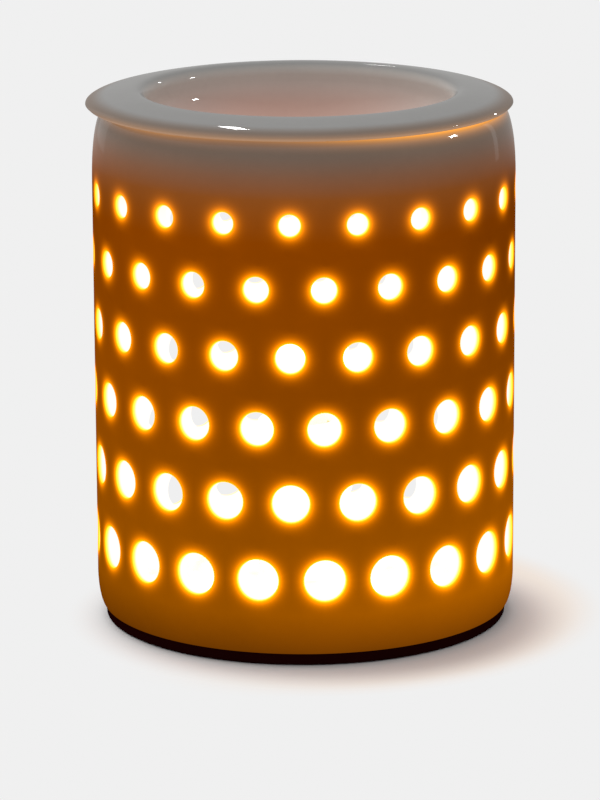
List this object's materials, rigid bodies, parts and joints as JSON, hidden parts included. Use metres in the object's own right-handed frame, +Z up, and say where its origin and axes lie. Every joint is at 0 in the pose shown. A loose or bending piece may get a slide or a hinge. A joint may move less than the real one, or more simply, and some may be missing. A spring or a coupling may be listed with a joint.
{
  "type": "fragrance lamp",
  "caption": "Upright pierced porcelain drum lit by a screw-in bulb, with a loose dish on top for scented wax or oil and a thin dark base on rubber feet.",
  "frame": {"origin": "middle of the underside, on the table, on the axis of the shade", "axes": "+Z up along the axis of the shade; the front of the lamp faces -Y and the cord gland is at the back, +Y"},
  "size_m": [0.1216, 0.1224, 0.1526],
  "materials": {
    "shade_porcelain": "glossy glaze, lit from inside",
    "dish_porcelain": "glossy glaze",
    "base_plastic": "satin moulded",
    "rubber": "matt",
    "steel": "zinc plated",
    "brass": "bright pressed",
    "nickel": "nickel plated",
    "solder": "dull solder",
    "holder_ceramic": "satin fired",
    "nylon": "satin moulded",
    "lead_sleeving": "braided glass fibre",
    "bulb_glass": "clear",
    "black_glass": "glossy black",
    "tungsten": "glowing"
  },
  "bodies": {
    "lamp": {"shade": "shade_porcelain", "base_plate": "base_plastic", "foot_front_left": "rubber", "foot_front_right": "rubber", "foot_back_right": "rubber", "foot_back_left": "rubber", "bridge_strap": "steel", "strap_pad_left": "rubber", "strap_pad_right": "rubber", "base_screw_left": "steel", "base_screw_right": "steel", "base_nut_left": "steel", "base_nut_right": "steel", "lampholder_body": "holder_ceramic", "thread_sleeve": "brass", "live_contact": "brass", "neutral_contact": "brass", "terminal_screw_left": "steel", "terminal_screw_right": "steel", "holder_screw": "steel", "holder_nut": "steel", "terminal_block": "nylon", "block_insert_left": "brass", "block_insert_right": "brass", "block_screw_front_left": "steel", "block_screw_front_right": "steel", "block_screw_back_left": "steel", "block_screw_back_right": "steel", "block_fixing_screw": "steel", "lead_left": "lead_sleeving", "lead_right": "lead_sleeving", "cord_gland": "rubber"},
    "dish": {"dish": "dish_porcelain"},
    "bulb_end": {"bulb_contact": "solder", "bulb_insulator": "black_glass"},
    "bulb": {"bulb_glass": "bulb_glass", "bulb_cap": "nickel", "bulb_stem": "bulb_glass", "lead_in_wire_left": "nickel", "lead_in_wire_right": "nickel", "filament": "tungsten", "filament_support_left": "nickel", "filament_support_right": "nickel"}
  },
  "joints": [
    {"name": "dish_lift", "type": "slide", "parent": "lamp", "child": "dish", "axis": [0, 0, 1], "range_m": [0, 0.06]},
    {"name": "bulb_rise", "type": "slide", "parent": "lamp", "child": "bulb_end", "axis": [0, 0, 1], "range_m": [0, 0.0099]},
    {"name": "bulb_turn", "type": "hinge", "parent": "bulb_end", "child": "bulb", "pos_m": [0, 0, 0.05], "axis": [0, 0, 1], "range_deg": [0, 1260]}
  ],
  "couplings": [
    {"joint": "bulb_rise", "follows": "bulb_turn", "m_per_rad": 0.00044882}
  ]
}
